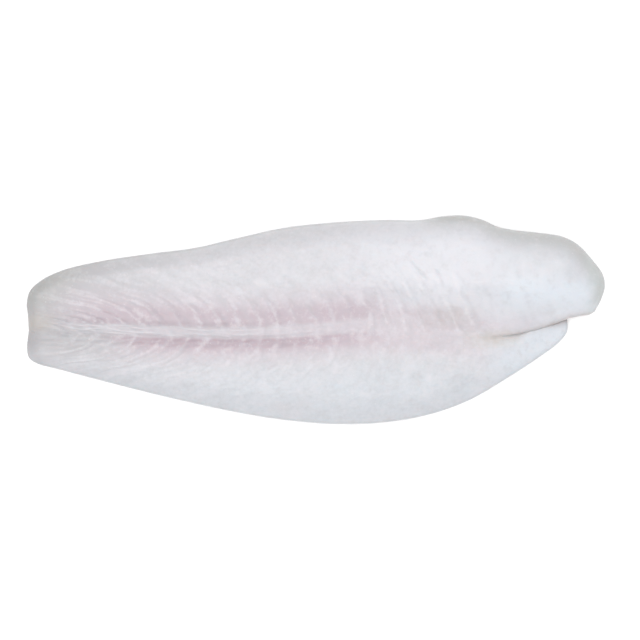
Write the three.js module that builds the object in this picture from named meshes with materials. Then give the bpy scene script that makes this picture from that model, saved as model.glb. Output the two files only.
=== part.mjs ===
// A skinned and boned basa fillet, raw, lying flat.
//
// It is one piece of meat. A seam runs down the middle from the tail, with the thick loin on its
// +Y side and the thinner belly on its -Y side. At the head end the seam opens into the slanting
// cut that took out the pin bones, so the loin ends in a broad lobe that overhangs the belly's
// shorter one. The muscle is folded in chevrons that point at the head, one to each vertebra, and
// the sheets of tissue between them show as shallow steps that fade towards the edges. The
// underside has settled flat on what the fillet lies on, and the edges round over and tuck in.
//
// Millimetres. +X runs from tail to head, +Y from belly to loin and +Z up. The origin is under the
// middle of the bounding box, on the flat underside.
//
// The body is two patches of rows, one on each side of the seam. A row leaves the seam and ends on
// the outline, swept back towards the tail as the chevrons are, so that the steps follow the rows
// and stay crisp with few triangles.
import * as THREE from "three";

// ---------------------------------------------------------------- driving dimensions
const LENGTH = 260; // tail cut to the tip of the loin's lobe
const HALF = LENGTH / 2;

// Plan of the fillet: [x, y] points on centripetal splines, measured from the middle of its box.
const NOTCH = [-129.4, -4.5]; // the dip in the tail's cut, where the seam starts
const LOIN_CORNER = [125.7, 3.8]; // the lower corner of the loin's lobe
const CUT_MOUTH = [113.6, 0.7]; // where the pin-bone cut comes out between the lobes
const LOIN_EDGE = [
  NOTCH, [-129.8, 2], [-130.3, 7.5], [-128.9, 13.1], [-124, 17.7], [-114, 22.5], [-96, 26.7],
  [-74.5, 29.9], [-54.5, 32.5], [-34, 37.2], [-15, 41.4], [8, 43.9], [30, 45], [47, 45],
  [57.5, 46.7], [66.5, 47], [74.8, 45.2], [81.5, 42.1], [88.5, 40.6], [101, 39.2], [111, 37.6],
  [118, 34], [124.5, 27.2], [129.2, 20.8], [130.3, 15.5], [128.7, 9.6], LOIN_CORNER,
];
const BELLY_EDGE = [
  NOTCH, [-129.9, -8.8], [-130.2, -13], [-129.3, -17], [-126, -19.4], [-115, -22.4],
  [-92.5, -28.3], [-65.5, -35], [-38.5, -40.9], [-16, -44.7], [10, -46.8], [32, -45.9],
  [51.5, -42.4], [69.5, -35.9], [87.5, -25.4], [101, -16.6], [110, -9.8], [113.3, -5.4],
  [113.7, -2], [113.2, 1.6],
];
const SEAM = [
  NOTCH, [-111.8, -6.1], [-88, -6.9], [-61, -8], [-34, -8.4], [-7, -7.4], [14, -5.6], [33.5, -4.6],
  [51.5, -5.2], [67.3, -6.9], [79.4, -8.4], [85.3, -8.3], [92, -6.5], [101, -3.5], CUT_MOUTH,
];
const LOIN_LIP = [[119, 1.8], [123.4, 2.5], LOIN_CORNER]; // past the mouth, to the lobe's corner

// Height of the meat, as [share of the length from the tail, height] knots.
const LOIN_HEIGHT = [
  [0, 5.8], [0.12, 8.8], [0.3, 12.6], [0.5, 16.2], [0.66, 19], [0.8, 19.2], [0.92, 16], [1, 11.5],
];
const SEAM_HEIGHT = [
  [0, 5.6], [0.12, 8.2], [0.3, 11], [0.5, 12.8], [0.68, 12.8], [0.82, 10.6], [0.93, 8.6], [1, 8.2],
];
const BELLY_HEIGHT = [
  [0, 5.5], [0.12, 8], [0.3, 10.8], [0.5, 12.8], [0.66, 12.8], [0.8, 10.8], [0.9, 8.6], [1, 6.5],
];
const CREST = 0.5; // share of a row from the seam at which the meat reaches its side's height
const EDGE_ROUND = [[0, 4.5], [0.12, 8], [0.35, 13], [0.7, 17], [0.9, 14], [1, 12]]; // how far in
const BELLY_ROUND_SCALE = 1.35; // the belly's edge rounds over this much more of its width
const BULGE = 0.3; // share of the height at which the outer edge stands out furthest
const UNDERCUT = 2.4; // how far the edge tucks in under itself
const UNDERCUT_MIDDLE = [0.22, 0.4]; // [share of the undercut, share of the bulge's height]

// The pin-bone cut.
const CUT_ROOT_X = 84; // where the seam opens
const CUT_OPENS_OVER = 15; // length over which it goes from closed to open
const CUT_SLANT = 5; // how far the cut leans under the loin
const CUT_GAP = 0.6;
const LOIN_LIP_BULGE = 0.55; // share of the height at which a lip stands out furthest
const LOIN_LIP_ROUND = 4.5;
const LIP_THICKENS = 0.35; // as a share of a row, how far beyond the lip its slope would start
const BELLY_LIP_BULGE = 0.5;
const BELLY_LIP_ROUND = 6;
const BELLY_LIP_SHARE = 0.66; // height of the belly's lip as a share of the loin's beside it
const NARROWEST = 0.35; // most that a slant or an undercut takes of a short row

// The muscle's chevrons.
const MYOMERE = 8.1; // spacing along the seam
const ROWS_PER_MYOMERE = 5;
const STEP_HEIGHT = 0.5; // from a sheet of tissue up to the crest of the muscle beside it
const STEP_SKEW = 0.75; // below 1, the step is steeper on its tail side
const STEP_RISE = [1, 5]; // distances from the seam between which the steps begin
const STEP_FADE = [12, 36]; // and between which they fade out
const STEP_ALONG = [[0, 0.2], [0.08, 1], [0.45, 1], [0.62, 0.5], [0.78, 0.4], [0.9, 0], [1, 0]];

// The furrow on the belly's side of the seam and the cord of white tissue on the loin's side.
const FURROW = { depth: 0.9, centre: -1.6, halfWidth: 2 };
const FURROW_ALONG = [[0, 0.2], [0.08, 1], [0.45, 1], [0.6, 0.35], [0.76, 0.35], [0.84, 1], [1, 1]];
const RIDGE = { depth: -0.75, centre: 1.9, halfWidth: 2 };
const RIDGE_ALONG = [[0, 0.2], [0.09, 1], [0.42, 1], [0.58, 0.35], [0.7, 0], [1, 0]];
const SWELL = 0.45; // soft unevenness of the surface
const SMOOTH_MARGIN = 6; // width beside the outline, or beside a lip, over which relief dies out

// How far back a row's outer end lies: [share along the seam, share along the outline].
const LOIN_SWEEP = [
  [0, 0], [0.08, 0.02], [0.2, 0.06], [0.28, 0.145], [0.32, 0.2], [0.4, 0.3], [0.48, 0.37],
  [0.65, 0.52], [0.83, 0.7], [0.95, 0.87], [1, 1],
];
const BELLY_SWEEP = [
  [0, 0], [0.09, 0.025], [0.2, 0.08], [0.3, 0.17], [0.42, 0.305], [0.5, 0.4], [0.69, 0.605],
  [0.87, 0.825], [0.95, 0.925], [1, 1],
];
const ROW_BOW = 0.1; // how far a row bows towards the head, as a share of its length
const STRAIGHT_ROWS = [0.55, 0.8]; // share along the seam over which the bow fades out

// Columns of a row, as distances from the seam and from the outline; the rest is divided evenly.
const NEAR_SEAM = [0, 1, 2, 3.8, 6];
const NEAR_EDGE = [0, 0.7, 2.2, 5, 9.5];
const EVEN_COLUMNS = 5;
const SHORTEST_FULL_ROW = 20; // a shorter row draws its close columns in
const OUTLINE_SAMPLES = 500;

// ---------------------------------------------------------------- small helpers
const clamp01 = (t) => Math.min(1, Math.max(0, t));
const mix = (a, b, t) => a + (b - a) * t;
const smooth = (from, to, value) => {
  const t = clamp01((value - from) / (to - from));
  return t * t * (3 - 2 * t);
};
const quarterRound = (t) => Math.sqrt(1 - (1 - clamp01(t)) ** 2);
const bump = (value, centre, halfWidth) =>
  (1 + Math.cos(Math.PI * clamp01(Math.abs(value - centre) / halfWidth))) / 2;

// A smooth function through [input, output] knots that never overshoots them.
function through(knots) {
  const slopes = knots.slice(1).map(([x, y], i) => (y - knots[i][1]) / (x - knots[i][0]));
  const tangents = knots.map((_, i) => {
    const before = slopes[Math.max(0, i - 1)];
    const after = slopes[Math.min(slopes.length - 1, i)];
    return before * after <= 0 ? 0 : (2 * before * after) / (before + after);
  });
  return (value) => {
    let i = 0;
    while (i < knots.length - 2 && value > knots[i + 1][0]) i += 1;
    const [x0, y0] = knots[i];
    const [x1, y1] = knots[i + 1];
    const t = clamp01((value - x0) / (x1 - x0));
    const ease = t * t * (3 - 2 * t);
    const lean = tangents[i] * t * (1 - t) ** 2 - tangents[i + 1] * t * t * (1 - t);
    return mix(y0, y1, ease) + (x1 - x0) * lean;
  };
}

const spline = (points) => {
  const vectors = points.map(([x, y]) => new THREE.Vector3(x, y, 0));
  return new THREE.CatmullRomCurve3(vectors, false, "centripetal");
};

// ---------------------------------------------------------------- the seam
const seam = spline(SEAM);
const loinLip = spline([CUT_MOUTH, ...LOIN_LIP]);
const seamLength = seam.getLength();
const lipLength = loinLip.getLength();

// The seam's point at a distance from the tail, running on along the loin's lip past the mouth.
function seamPoint(distance) {
  if (distance <= seamLength) return seam.getPointAt(distance / seamLength);
  return loinLip.getPointAt(clamp01((distance - seamLength) / lipLength));
}

// The unit vector across the seam, towards the loin.
function acrossSeam(distance) {
  const step = 0.5;
  const ahead = seamPoint(Math.min(distance + step, seamLength + lipLength));
  const behind = seamPoint(Math.max(distance - step, 0));
  const along = ahead.sub(behind).normalize();
  return new THREE.Vector3(-along.y, along.x, 0);
}

// Distance along the seam at which it reaches an x.
function seamDistanceAt(x) {
  const tolerance = 0.01;
  let low = 0;
  let high = seamLength;
  while (high - low > tolerance) {
    const middle = (low + high) / 2;
    if (seamPoint(middle).x < x) low = middle;
    else high = middle;
  }
  return low;
}

const cutRoot = seamDistanceAt(CUT_ROOT_X);
const cutOpen = (distance) => smooth(cutRoot, cutRoot + CUT_OPENS_OVER, distance);

// ---------------------------------------------------------------- the two sides of the seam
const loinEdge = spline(LOIN_EDGE);
const bellyEdge = spline(BELLY_EDGE);
const loinOutline = loinEdge.getSpacedPoints(OUTLINE_SAMPLES);
const bellyOutline = bellyEdge.getSpacedPoints(OUTLINE_SAMPLES);
const LOIN = {
  sign: 1,
  edge: loinEdge,
  outline: loinOutline,
  otherOutline: bellyOutline,
  sweep: through(LOIN_SWEEP),
  height: through(LOIN_HEIGHT),
  roundScale: 1,
  seamLength: seamLength + lipLength,
  lipBulge: LOIN_LIP_BULGE,
  lipRound: LOIN_LIP_ROUND,
};
const BELLY = {
  sign: -1,
  edge: bellyEdge,
  outline: bellyOutline,
  otherOutline: loinOutline,
  sweep: through(BELLY_SWEEP),
  height: through(BELLY_HEIGHT),
  roundScale: BELLY_ROUND_SCALE,
  seamLength,
  lipBulge: BELLY_LIP_BULGE,
  lipRound: BELLY_LIP_ROUND,
};

const distanceInPlan = (point, samples) =>
  Math.min(...samples.map((sample) => Math.hypot(point.x - sample.x, point.y - sample.y)));

// Distance to the outline, which past the root of the cut is only that of the point's own side.
function distanceToOutline(point, side, open) {
  const own = distanceInPlan(point, side.outline);
  const other = distanceInPlan(point, side.otherOutline);
  return mix(Math.min(own, other), own, open);
}

// ---------------------------------------------------------------- the top surface
const seamHeight = through(SEAM_HEIGHT);
const edgeRound = through(EDGE_ROUND);
const stepAlong = through(STEP_ALONG);
const furrowAlong = through(FURROW_ALONG);
const ridgeAlong = through(RIDGE_ALONG);
const shareOfLength = (point) => (point.x + HALF) / LENGTH;

// The muscle between two sheets of tissue: steep on its tail side, easing off towards the head.
function myomereCrest(phase) {
  const t = phase - Math.floor(phase);
  return Math.sin(Math.PI * t ** STEP_SKEW);
}

// Two crossed waves, 40 to 80 mm long, and a shorter one.
function swell({ x, y }) {
  const broad = Math.sin(x / 13 + 0.6 * Math.sin(y / 9)) * Math.cos(y / 11 + x / 31);
  return broad + 0.5 * Math.sin(x / 6.3 - y / 7.1);
}

function relief(point, side, distance, fromSeam) {
  const share = shareOfLength(point);
  const fade = smooth(...STEP_RISE, fromSeam) * (1 - smooth(...STEP_FADE, fromSeam));
  const steps = STEP_HEIGHT * stepAlong(share) * fade * myomereCrest(distance / MYOMERE);
  const offset = side.sign * fromSeam;
  const furrow = FURROW.depth * furrowAlong(share) * bump(offset, FURROW.centre, FURROW.halfWidth);
  const ridge = RIDGE.depth * ridgeAlong(share) * bump(offset, RIDGE.centre, RIDGE.halfWidth);
  return steps - furrow - ridge + SWELL * swell(point);
}

// Height at a point of the row that leaves the seam at a distance from the tail.
function topHeight(point, side, distance, fromSeam, rowLength) {
  const share = shareOfLength(point);
  const open = cutOpen(distance);
  const pastRoot = smooth(cutRoot, side.seamLength, distance);
  const crest = smooth(-LIP_THICKENS * pastRoot, CREST, fromSeam / Math.max(rowLength, 1));
  const body = mix(seamHeight(share), side.height(share), crest);
  const toEdge = distanceToOutline(point, side, open);
  const round = edgeRound(share) * mix(1, side.roundScale, crest);
  const edgeShape = mix(BULGE, 1, quarterRound(toEdge / round));
  const lipShape = mix(mix(1, side.lipBulge, open), 1, quarterRound(fromSeam / side.lipRound));
  const nearLip = open * (1 - smooth(0, SMOOTH_MARGIN, fromSeam));
  const clear = smooth(0, SMOOTH_MARGIN, toEdge) * (1 - nearLip);
  const shape = Math.max(BULGE, edgeShape * lipShape);
  return body * shape + clear * relief(point, side, distance, fromSeam);
}

// ---------------------------------------------------------------- rows of points
// Distances from the seam of a row's columns.
function columnsOf(rowLength) {
  const scale = Math.min(1, rowLength / SHORTEST_FULL_ROW);
  const inner = NEAR_SEAM.map((gap) => gap * scale);
  const outer = NEAR_EDGE.map((gap) => rowLength - gap * scale).reverse();
  const even = Array.from({ length: EVEN_COLUMNS }, (_, i) =>
    mix(inner.at(-1), outer[0], (i + 1) / (EVEN_COLUMNS + 1)),
  );
  return [...inner, ...even, ...outer];
}

// How far the belly's lip reaches under the loin's, so that the two walls of the cut are parallel.
function bellyTuck(open, slant) {
  const heightRatio = mix(1, BELLY_LIP_SHARE, open);
  return Math.max(0, slant * (1 - heightRatio) - CUT_GAP * open);
}

// The points that curl in under the outer edge, down to the flat underside.
function undercut(side, share, rim, rowLength) {
  const edgeShare = side.sweep(share);
  const tangent = side.edge.getTangentAt(edgeShare);
  const inward = new THREE.Vector3(side.sign * tangent.y, -side.sign * tangent.x, 0);
  const reach = Math.min(UNDERCUT, NARROWEST * rowLength);
  return [UNDERCUT_MIDDLE, [1, 0]].map(([across, height]) => {
    const point = rim.clone().addScaledVector(inward, reach * across);
    return point.setZ(rim.z * height);
  });
}

// One row: the points of the top surface, those under the outer edge, and the foot and the middle
// of the cut's wall, which before the root of the cut stand straight under the seam.
function makeRow(side, distance) {
  const share = clamp01(distance / side.seamLength);
  const isTip = share === 0 || share === 1;
  const end = side.edge.getPointAt(side.sweep(share));
  const root = isTip ? end.clone() : seamPoint(distance);
  const open = cutOpen(distance);
  const across = acrossSeam(distance);
  const slant = Math.min(CUT_SLANT * open, NARROWEST * root.distanceTo(end));
  const start = root.clone();
  if (side === BELLY) start.addScaledVector(across, bellyTuck(open, slant));

  const chord = end.clone().sub(start);
  const rowLength = chord.length();
  const along = chord.normalize();
  const headward = new THREE.Vector3(side.sign * along.y, -side.sign * along.x, 0);
  const bow = ROW_BOW * rowLength * (1 - smooth(...STRAIGHT_ROWS, share));
  const top = columnsOf(rowLength).map((fromSeam) => {
    const t = isTip ? 0 : fromSeam / rowLength;
    const bowed = 6.75 * t * (1 - t) ** 2; // 1 at its furthest, a third of the way along
    const point = start.clone().addScaledVector(along, fromSeam);
    point.addScaledVector(headward, bow * bowed);
    return point.setZ(topHeight(point, side, distance, fromSeam, rowLength));
  });

  const under = undercut(side, share, top.at(-1), rowLength);
  const footReach = side === LOIN ? slant : Math.max(0, slant - CUT_GAP * open);
  const foot = root.clone().addScaledVector(across, footReach);
  const wallMiddle = foot.clone().lerp(top[0], UNDERCUT_MIDDLE[1]);
  return { distance, top, under, foot, wallMiddle };
}

// Distances along the seam at which rows start, one of them at the root of the cut. They draw
// closer at both ends, where the rows are short.
function rowDistances(side) {
  const pitch = MYOMERE / ROWS_PER_MYOMERE;
  const nearTip = NEAR_EDGE.slice(0, -2);
  const count = Math.floor((side.seamLength - nearTip.at(-1)) / pitch) - 2;
  const distances = Array.from({ length: count }, (_, i) => (i + 2) * pitch);
  const toRoot = distances.map((distance) => Math.abs(distance - cutRoot));
  distances[toRoot.indexOf(Math.min(...toRoot))] = cutRoot;
  return [...nearTip, ...distances, ...nearTip.map((gap) => side.seamLength - gap).reverse()];
}

// ---------------------------------------------------------------- the solid
const corners = [];

function triangle(a, b, c) {
  const tiny = 1e-8;
  const sides = [a.distanceToSquared(b), b.distanceToSquared(c), c.distanceToSquared(a)];
  if (Math.min(...sides) < tiny) return;
  corners.push(...a.toArray(), ...b.toArray(), ...c.toArray());
}

// The strip between two neighbouring rows of points, facing out of the meat.
function strip(row, next, side) {
  for (let i = 0; i + 1 < row.length; i += 1) {
    const [a, b] = side === LOIN ? [row[i], next[i]] : [row[i + 1], next[i + 1]];
    const [d, c] = side === LOIN ? [row[i + 1], next[i + 1]] : [row[i], next[i]];
    triangle(a, b, d);
    triangle(b, c, d);
  }
}

// Up to the root of the cut the two sides meet at the seam. Past it each has a wall of its own.
function makeSide(side) {
  const rows = rowDistances(side).map((distance) => makeRow(side, distance));
  for (let i = 0; i + 1 < rows.length; i += 1) {
    const [row, next] = [rows[i], rows[i + 1]];
    strip([...row.top, ...row.under, row.foot], [...next.top, ...next.under, next.foot], side);
    if (row.distance < cutRoot) continue;
    strip([row.foot, row.wallMiddle, row.top[0]], [next.foot, next.wallMiddle, next.top[0]], side);
  }
}

makeSide(LOIN);
makeSide(BELLY);
const geometry = new THREE.BufferGeometry();
geometry.setAttribute("position", new THREE.Float32BufferAttribute(corners, 3));
geometry.computeVertexNormals();
geometry.computeBoundingBox();
const middle = geometry.boundingBox.getCenter(new THREE.Vector3());

const flesh = new THREE.MeshStandardMaterial({ color: 0xe2dfe3, roughness: 0.4, metalness: 0 });
const fillet = new THREE.Mesh(geometry, flesh);
fillet.name = "fillet";
fillet.position.set(-middle.x, -middle.y, 0);

const part = new THREE.Group();
part.add(fillet);

export default part;
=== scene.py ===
# %% [markdown]
# # A raw basa fillet
#
# The object is one piece of meat: a skinned and boned side of a basa, lying flat with its inner
# side up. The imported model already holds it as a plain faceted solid. This lesson builds the
# same form again with a fine surface, gives it the finish of wet raw fish, and lights it softly.
# The frame comes first. It says where everything is, in metres, with +X towards the head end,
# +Y towards the thick loin and +Z up.

# %% Load the frame
import math
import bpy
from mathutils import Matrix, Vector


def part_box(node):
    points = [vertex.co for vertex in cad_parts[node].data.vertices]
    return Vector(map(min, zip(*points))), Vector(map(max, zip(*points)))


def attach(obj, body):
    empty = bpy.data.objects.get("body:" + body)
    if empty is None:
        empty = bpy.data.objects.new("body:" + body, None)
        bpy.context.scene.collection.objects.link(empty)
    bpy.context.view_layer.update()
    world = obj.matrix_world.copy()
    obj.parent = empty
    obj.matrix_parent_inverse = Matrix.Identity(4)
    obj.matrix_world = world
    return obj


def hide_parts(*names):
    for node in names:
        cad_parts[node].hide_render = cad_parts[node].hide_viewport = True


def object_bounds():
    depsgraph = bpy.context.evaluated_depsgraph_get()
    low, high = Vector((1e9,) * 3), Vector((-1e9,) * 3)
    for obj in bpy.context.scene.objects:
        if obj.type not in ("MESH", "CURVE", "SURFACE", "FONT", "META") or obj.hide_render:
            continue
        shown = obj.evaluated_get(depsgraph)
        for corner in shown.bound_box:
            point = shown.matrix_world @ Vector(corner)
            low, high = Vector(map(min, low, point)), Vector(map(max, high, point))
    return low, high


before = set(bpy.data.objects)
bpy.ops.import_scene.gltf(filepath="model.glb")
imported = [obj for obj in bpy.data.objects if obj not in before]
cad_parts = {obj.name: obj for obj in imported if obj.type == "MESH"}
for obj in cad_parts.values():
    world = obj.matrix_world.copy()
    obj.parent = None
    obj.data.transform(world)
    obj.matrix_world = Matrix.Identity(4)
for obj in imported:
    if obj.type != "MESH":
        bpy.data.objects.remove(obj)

from types import SimpleNamespace

import bmesh
import bpy
import numpy as np

NODE = "fillet"
cad_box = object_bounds()
cad_size_mm = [round(1000 * side, 2) for side in cad_box[1] - cad_box[0]]
print("nodes:", sorted(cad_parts), "size in mm:", cad_size_mm)

# %% [markdown]
# ## The camera
#
# The photograph looks straight down on the fish from far away, so nothing leans. A long lens high
# above the table does the same. The width that the picture shows on the table sets the distance,
# because lens and sensor are to each other as the distance is to that width.

# %% Look straight down
PICTURE_WIDTH = 0.288  # what the square picture shows from side to side, at the fish
PICTURE_MIDDLE = (0.002, -0.0001, 0.005)
LENS = 150.0
SENSOR = 36.0


def add_camera():
    data = bpy.data.cameras.new("camera")
    data.lens = LENS
    data.sensor_width = SENSOR
    data.clip_end = 20
    camera = bpy.data.objects.new("camera", data)
    x, y, z = PICTURE_MIDDLE
    camera.location = (x, y, z + PICTURE_WIDTH * LENS / SENSOR)
    bpy.context.scene.collection.objects.link(camera)
    bpy.context.scene.camera = camera
    return camera


camera = add_camera()
print("camera height:", round(camera.location.z, 3), "m")

# %% [markdown]
# ## Small functions for shapes
#
# Every form below is a sum of soft steps, bumps and curves through a few knots. They work on
# whole arrays of points at once, which is why they are written with NumPy.

# %% Steps, bumps and knots


def mix(a, b, share):
    return a + (b - a) * share


def smooth(start, end, value):
    """0 before start, 1 after end, and an S-shaped rise between them."""
    t = np.clip((value - start) / (end - start), 0, 1)
    return t * t * (3 - 2 * t)


def quarter_round(t):
    """The height of a quarter circle that starts upright at 0 and is level at 1."""
    return np.sqrt(1 - (1 - np.clip(t, 0, 1)) ** 2)


def bump(value, centre, half_width):
    """A soft hump of height 1."""
    return (1 + np.cos(np.pi * np.clip(np.abs(value - centre) / half_width, 0, 1))) / 2


def through(knots):
    """A smooth function through (input, output) knots that never overshoots them."""
    x, y = np.array(knots, float).T
    slope = np.diff(y) / np.diff(x)
    before = np.concatenate([slope[:1], slope])
    after = np.concatenate([slope, slope[-1:]])
    same_way = before * after > 0
    total = np.where(same_way, before + after, 1)
    tangent = np.where(same_way, 2 * before * after / total, 0)

    def curve(value):
        i = np.clip(np.searchsorted(x, value, side="left") - 1, 0, len(x) - 2)
        t = np.clip((value - x[i]) / (x[i + 1] - x[i]), 0, 1)
        lean = tangent[i] * t * (1 - t) ** 2 - tangent[i + 1] * t * t * (1 - t)
        return mix(y[i], y[i + 1], t * t * (3 - 2 * t)) + (x[i + 1] - x[i]) * lean

    return curve


print("half way up a soft step:", float(smooth(0, 1, 0.5)))

# %% [markdown]
# ## Chance
#
# Meat is never quite even, so the forms also need some chance in them. This noise is a grid of
# seeded random heights with soft slopes between them, the same on every run. Where one would look
# too regular, several of different sizes are added up.

# %% Noise with a seed
NOISE_CELLS = 128


def noise(x, y, seed):
    """Soft random hills between -1 and 1, about one unit wide."""
    heights = np.random.default_rng(seed).uniform(-1, 1, (NOISE_CELLS, NOISE_CELLS))
    column = np.floor(x).astype(int)
    row = np.floor(y).astype(int)
    u = smooth(0, 1, x - column)
    v = smooth(0, 1, y - row)
    left, right = column % NOISE_CELLS, (column + 1) % NOISE_CELLS
    low, high = row % NOISE_CELLS, (row + 1) % NOISE_CELLS
    near = mix(heights[left, low], heights[right, low], u)
    far = mix(heights[left, high], heights[right, high], u)
    return mix(near, far, v)


def layered(x, y, layers):
    """A sum of noises. Each layer holds its strength, its length, its width and its seed."""
    total = 0
    for strength, length, width, seed in layers:
        total = total + strength * noise(x / length, y / width, seed)
    return total


row_of_places = np.array([0.5, 1.5, 2.5])
print("noise at three points:", noise(row_of_places, np.full(3, 0.2), seed=1).round(2))

# %% [markdown]
# ## The outline and the seam
#
# Seen from above, three lines set the whole fillet. The loin's edge and the belly's edge run from
# the notch in the tail's cut round to the head end, and the seam between the two muscles runs down
# the middle. Each is a smooth line through a few points in millimetres, measured from the middle
# of the fillet's box. The solid has the same lines, and only the seam is up to 1.2 mm off it near
# the root of the cut. A centripetal spline is used, because it passes through its points without
# loops, even where they are close together.

# %% Lines that are walked by their length
SPLINE_STEPS = 16


def spline(points):
    """Many points along the smooth line through a few."""
    p = np.array(points, float)
    p = np.vstack([2 * p[0] - p[1], p, 2 * p[-1] - p[-2]])
    t = np.linspace(0, 1, SPLINE_STEPS, endpoint=False)[:, None]
    stretches = []
    for a, b, c, d in zip(p, p[1:], p[2:], p[3:]):
        first, middle, last = (math.sqrt(math.dist(*ends)) for ends in ((a, b), (b, c), (c, d)))
        leave = (b - a) / first - (c - a) / (first + middle) + (c - b) / middle
        arrive = (c - b) / middle - (d - b) / (middle + last) + (d - c) / last
        leave, arrive = leave * middle, arrive * middle
        square = 3 * (c - b) - 2 * leave - arrive
        cube = 2 * (b - c) + leave + arrive
        stretches.append(b + leave * t + square * t**2 + cube * t**3)
    return np.vstack([*stretches, p[-2]])


class Line:
    """A line of many points that can be walked by its length, in millimetres."""

    def __init__(self, points):
        self.points = points
        steps = np.linalg.norm(np.diff(points, axis=0), axis=1)
        self.reached = np.concatenate([[0], np.cumsum(steps)])
        self.length = self.reached[-1]

    def at(self, distance):
        x, y = self.points.T
        reached = np.interp(distance, self.reached, x), np.interp(distance, self.reached, y)
        return np.array(reached).T

    def heading(self, distance, reach=0.5):
        """The unit vector along the line."""
        ahead = self.at(min(distance + reach, self.length)) - self.at(max(distance - reach, 0))
        return ahead / np.linalg.norm(ahead)

    def distance_from(self, places):
        """How far each of some places is from the line."""
        gaps = np.linalg.norm(places[:, None] - self.points[None], axis=-1)
        nearest = gaps.argmin(axis=1)
        last = len(self.points) - 2
        found = np.full(len(places), np.inf)
        for first in (np.clip(nearest - 1, 0, last), np.clip(nearest, 0, last)):
            start = self.points[first]
            step = self.points[first + 1] - start
            share = ((places - start) * step).sum(axis=1) / (step**2).sum(axis=1)
            foot = start + np.clip(share, 0, 1)[:, None] * step
            found = np.minimum(found, np.linalg.norm(places - foot, axis=1))
        return found


# %% The fillet's own lines
LENGTH = 260.0
HALF = LENGTH / 2
NOTCH = (-129.4, -4.5)  # the dip in the tail's cut, where the seam starts
LOIN_CORNER = (125.7, 3.8)  # the lower corner of the loin's lobe
CUT_MOUTH = (113.6, 0.7)  # where the pin-bone cut comes out between the lobes
LOIN_EDGE = [
    NOTCH, (-129.8, 2), (-130.3, 7.5), (-128.9, 13.1), (-124, 17.7), (-114, 22.5), (-96, 26.7),
    (-74.5, 29.9), (-54.5, 32.5), (-34, 37.2), (-15, 41.4), (8, 43.9), (30, 45), (47, 45),
    (57.5, 46.7), (66.5, 47), (74.8, 45.2), (81.5, 42.1), (88.5, 40.6), (101, 39.2), (111, 37.6),
    (118, 34), (124.5, 27.2), (129.2, 20.8), (130.3, 15.5), (128.7, 9.6), LOIN_CORNER,
]
BELLY_EDGE = [
    NOTCH, (-129.9, -8.8), (-130.2, -13), (-129.3, -17), (-126, -19.4), (-115, -22.4),
    (-92.5, -28.3), (-65.5, -35), (-38.5, -40.9), (-16, -44.7), (10, -46.8), (32, -45.9),
    (51.5, -42.4), (69.5, -35.9), (87.5, -25.4), (101, -16.6), (110, -9.8), (113.3, -5.4),
    (113.7, -2), (113.2, 1.6),
]
SEAM = [
    NOTCH, (-111.8, -6.1), (-88, -6.9), (-61, -8), (-34, -8.4), (-7, -7.4), (14, -5.6),
    (33.5, -4.6), (51.5, -5.2), (67.3, -6.7), (79.4, -7.8), (86, -7.1), (93, -6.1),
    (101, -4), CUT_MOUTH,
]
LOIN_LIP = [CUT_MOUTH, (119, 1.8), (123.4, 2.5), LOIN_CORNER]

seam = Line(spline(SEAM))
seam_and_lip = Line(np.vstack([seam.points, spline(LOIN_LIP)[1:]]))
loin_edge = Line(spline(LOIN_EDGE))
belly_edge = Line(spline(BELLY_EDGE))
for name, line in (("seam", seam), ("loin edge", loin_edge), ("belly edge", belly_edge)):
    print(name, "length:", round(line.length, 1), "mm")

# %% [markdown]
# ## How thick the meat is
#
# A fillet is thickest in the loin near the head and thins to the tail. The knots give the height
# at the crest of each muscle and in the seam, against the share of the length from the tail.
# Towards the outline the surface falls in a quarter round. The outline itself is the bulge, a
# third of the way up, and below it the meat tucks in under itself to where it rests.

# %% Heights and edges
LOIN_HEIGHT = through([
    (0, 5.8), (0.12, 8.8), (0.3, 12.6), (0.5, 16.2), (0.66, 19), (0.8, 19.2), (0.92, 16), (1, 11.5),
])
SEAM_HEIGHT = through([
    (0, 5.6), (0.12, 8.2), (0.3, 11), (0.5, 12.8), (0.68, 12.8), (0.82, 10.6), (0.93, 8.6), (1, 8.2),
])
BELLY_HEIGHT = through([
    (0, 5.5), (0.12, 8), (0.3, 10.8), (0.5, 12.8), (0.66, 12.8), (0.8, 10.8), (0.9, 8.6), (1, 6.5),
])
CREST = 0.5  # share of a row from the seam at which the meat reaches its side's height
EDGE_ROUND = through([(0, 4.5), (0.12, 8), (0.35, 13), (0.7, 17), (0.9, 14), (1, 12)])
BULGE = 0.3
UNDERCUT = 2.4
NARROWEST = 0.35  # most that an undercut or a slant takes of a short row

# %% [markdown]
# The pin-bone cut opens the seam at the head end. It slants under the loin, so the loin's lip
# overhangs the belly's, and both lips are rounded over. Towards the cut's mouth its walls stand
# up, because the belly's lobe is too short there to lean.

# %% The pin-bone cut
CUT_ROOT_X = 84  # where along the fillet the cut starts
CUT_OPENS_OVER = 15
CUT_SLANT = 5  # how far the cut leans under the loin
MOUTH_SLANT = 0.6
UPRIGHT_OVER = 18  # length before the mouth over which the walls stand up
CUT_GAP = 0.12
LIP_THICKENS = 0.35  # as a share of a row, how far beyond the lip its slope would start
BELLY_LIP_SHARE = 0.66  # height of the belly's lip as a share of the loin's beside it
cut_root = float(np.interp(CUT_ROOT_X, seam.points[:, 0], seam.reached))


def cut_open(distance):
    """0 where the seam is whole, 1 where the cut is fully open."""
    return smooth(cut_root, cut_root + CUT_OPENS_OVER, distance)


def cut_slant(distance):
    """How far the cut reaches under the loin."""
    by_mouth = smooth(seam.length - UPRIGHT_OVER, seam.length, distance)
    return mix(CUT_SLANT, MOUTH_SLANT, by_mouth) * cut_open(distance)


print("the cut opens", round(cut_root, 1), "mm along the seam")

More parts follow.
